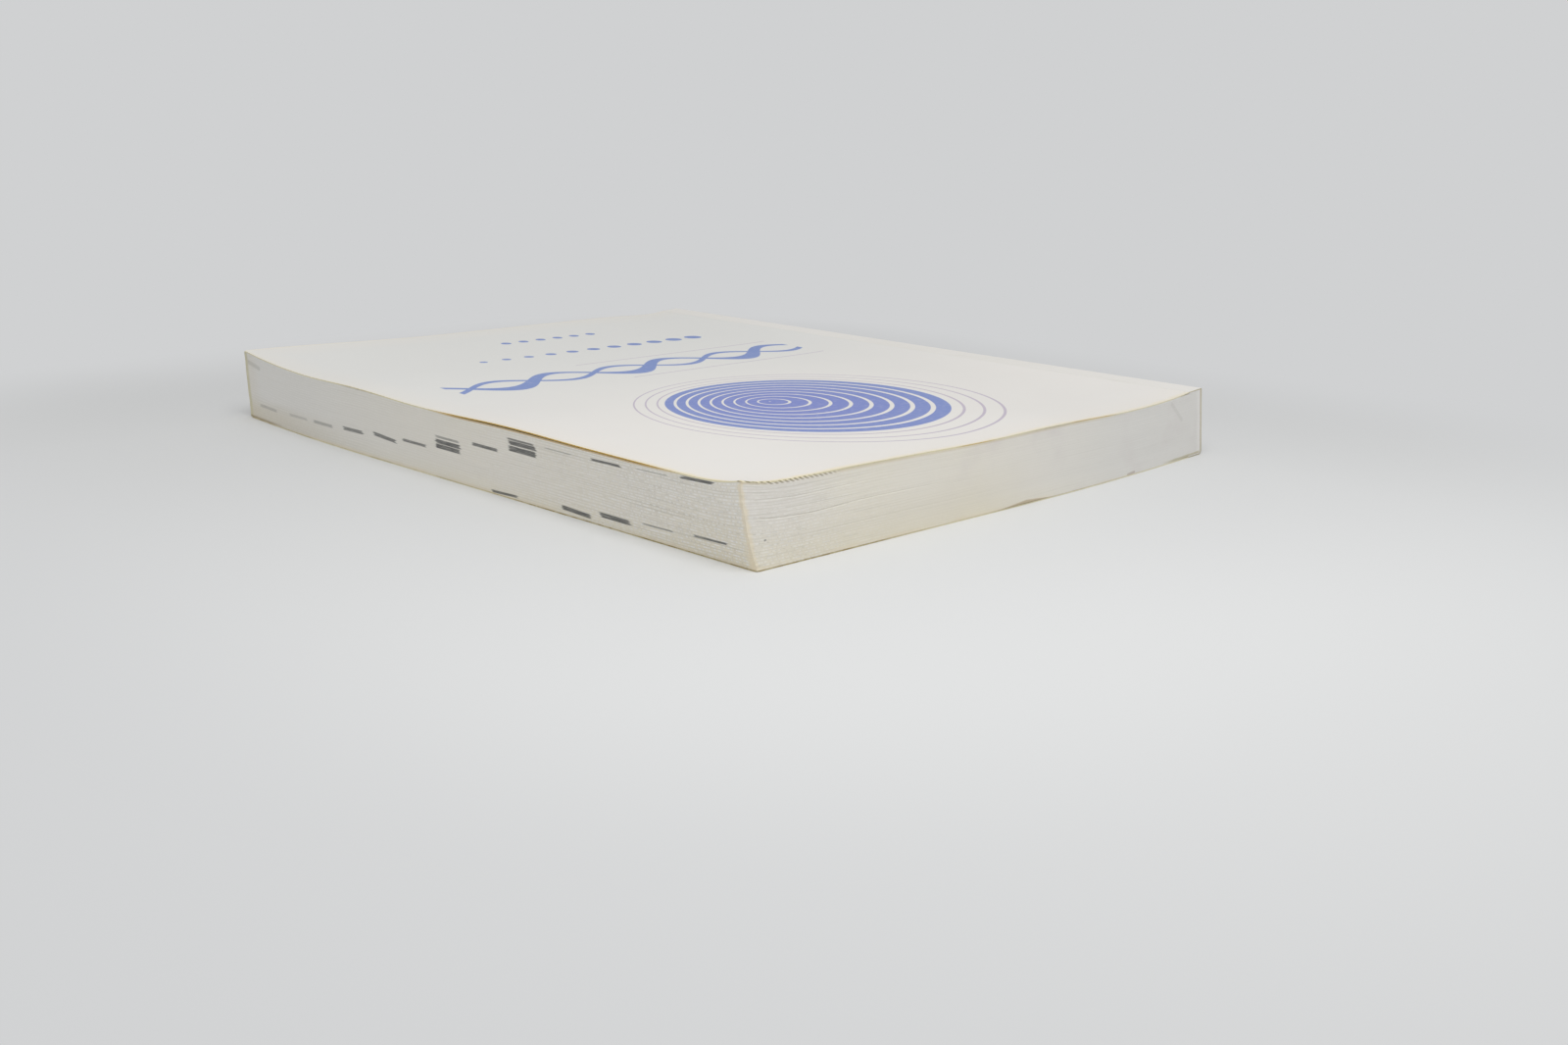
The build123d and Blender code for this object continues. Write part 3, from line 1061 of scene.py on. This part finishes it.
# Cover panels
card_inner, card_edge = inside_finish(), core_finish()
front_finishes = [card_finish("cover_front_card", True), card_inner, card_edge]
back_finishes = [card_finish("cover_back_card", False), card_inner, card_edge]
front_panel = cover_panel("front_panel", "front_cover", front_finishes, True, front_seed)
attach(front_panel, "front")
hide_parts("front_cover")
back_panel = cover_panel("back_panel", "back_cover", back_finishes, False, back_seed)
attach(back_panel, "back")
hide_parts("back_cover")

# The card round the spine and the adhesive under it keep their solids
for node, material in (("cover_spine", spine_finish()), ("spine_glue", glue_finish())):
    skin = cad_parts[node].data
    skin.materials.clear()
    skin.materials.append(material)


def seen_directly(wire):
    """1 for the camera, a reflection and a look through glass, and 0 for light on its way."""
    kinds = ("Is Camera Ray", "Is Glossy Ray", "Is Transmission Ray")
    camera, glossy, through = [wire.node("ShaderNodeLightPath", output=kind) for kind in kinds]
    return camera.most(glossy).most(through)


def floor_finish():
    """A lit sheet beside the book, painted brighter round a spot in front of it as a pool of light,
    which turns into the backdrop's own tone away from it.
    """
    shade_near, shade_far = 35, 150
    bright_x, bright_y, bright_reach = 45, 175, 280
    material, shader, place, (x, y, z) = finish("pale_floor", 0.9, 0.1)
    past_x = (x.size() - block_high.x / mm).most(0.0)
    past_y = (y.size() - block_high.y / mm).most(0.0)
    # A painted pool of light: the floor's colour and glow are brighter round a spot in front of the
    # book and dimmer away from it
    painted_light_falloff = (x - bright_x).diagonal(y - bright_y).rise(0, bright_reach)
    paint(shader, painted_light_falloff.mix(floor_bright, floor_dim))
    tone = painted_light_falloff.mix(floor_near, backdrop)
    glow = place.node("ShaderNodeEmission", None, {"Color": tone, "Strength": 1.0})
    away = past_x.diagonal(past_y).rise(shade_near, shade_far)
    share = away * seen_directly(place)
    lit = Wire(place.tree, shader.outputs[0])
    blend = place.node("ShaderNodeMixShader", None, {0: share, 1: lit, 2: glow})
    output = place.tree.nodes["Material Output"]
    place.tree.links.new(blend.socket, output.inputs["Surface"])
    return material


def floor():
    """A wide sheet just under the book that follows its curled back and its lifted corner."""
    fine_reach, fine_step, fade_reach = 280 * mm, 5 * mm, 160 * mm
    wide = np.array([500, 1000, 3000, 8000]) * mm
    clearance, inset, spine_inset = 0.02 * mm, 0.1 * mm, 1.6 * mm
    fine = np.arange(-fine_reach, fine_reach + fine_step / 2, fine_step)
    steps = np.concatenate([-wide[::-1], fine, wide])
    x, y = np.meshgrid(steps, steps, indexing="ij")
    low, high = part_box("cover_spine")[0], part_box("back_cover")[1]
    under_x = np.clip(x, low.x + spine_inset, high.x - inset)
    under_y = np.clip(y, tail + inset, head - inset)
    rise = met(solid("cover_spine", "back_cover"), under_x, under_y, False)
    z = (rise - clearance) * fade(np.hypot(x - under_x, y - under_y), fade_reach)
    points = np.stack([x, y, z], -1).reshape(-1, 3)
    count = len(steps)
    corners = [i * count + j for i in range(count - 1) for j in range(count - 1)]
    faces = [(at, at + count, at + count + 1, at + 1) for at in corners]
    return new_piece("floor", points, faces, [floor_finish()], [0] * len(faces), [True] * len(faces))


def soft_lamp():
    """A square lamp of even light above the near corner."""
    data = bpy.data.lights.new("key", "AREA")
    data.shape = "SQUARE"
    data.size = lamp_width
    data.energy = lamp_power
    lamp = added("key", data)
    lamp.location = lamp_place
    lamp.rotation_mode = "QUATERNION"
    lamp.rotation_quaternion = (lamp_target - lamp_place).to_track_quat("-Z", "Y")


def studio_world():
    """Even light from all round, and the backdrop's tone where the camera, a reflection or a look
    through glass goes past the floor."""
    world = bpy.data.worlds.new("studio")
    world.use_nodes = True
    tree = world.node_tree
    tree.nodes.clear()
    look = seen_directly(Wire(tree))
    white = (1, 1, 1, 1)
    light = look.node("ShaderNodeBackground", None, {"Color": white, "Strength": world_light})
    seen = look.node("ShaderNodeBackground", None, {"Color": backdrop, "Strength": 1.0})
    both = look.node("ShaderNodeMixShader", None, {0: look, 1: light, 2: seen})
    output = tree.nodes.new("ShaderNodeOutputWorld")
    tree.links.new(both.socket, output.inputs["Surface"])
    bpy.context.scene.world = world


def photo_camera():
    """The camera at the photograph's place, heading, dip and roll."""
    heading, dip, roll = radians(camera_heading), radians(camera_dip), radians(camera_roll)
    forward = Vector((cos(dip) * cos(heading), cos(dip) * sin(heading), -sin(dip)))
    level = Vector((sin(heading), -cos(heading), 0))
    upright = level.cross(forward)
    right = level * cos(roll) + upright * sin(roll)
    up = upright * cos(roll) - level * sin(roll)
    data = bpy.data.cameras.new("camera")
    data.lens = camera_lens
    data.sensor_width = camera_sensor
    data.clip_start = camera_clip
    camera = added("camera", data)
    turn = Matrix((right, up, -forward)).transposed()
    camera.matrix_world = Matrix.Translation(camera_place) @ turn.to_4x4()
    bpy.context.scene.camera = camera


# Studio
floor()
studio_world()
soft_lamp()
photo_camera()
bpy.context.scene.view_settings.view_transform = "Standard"
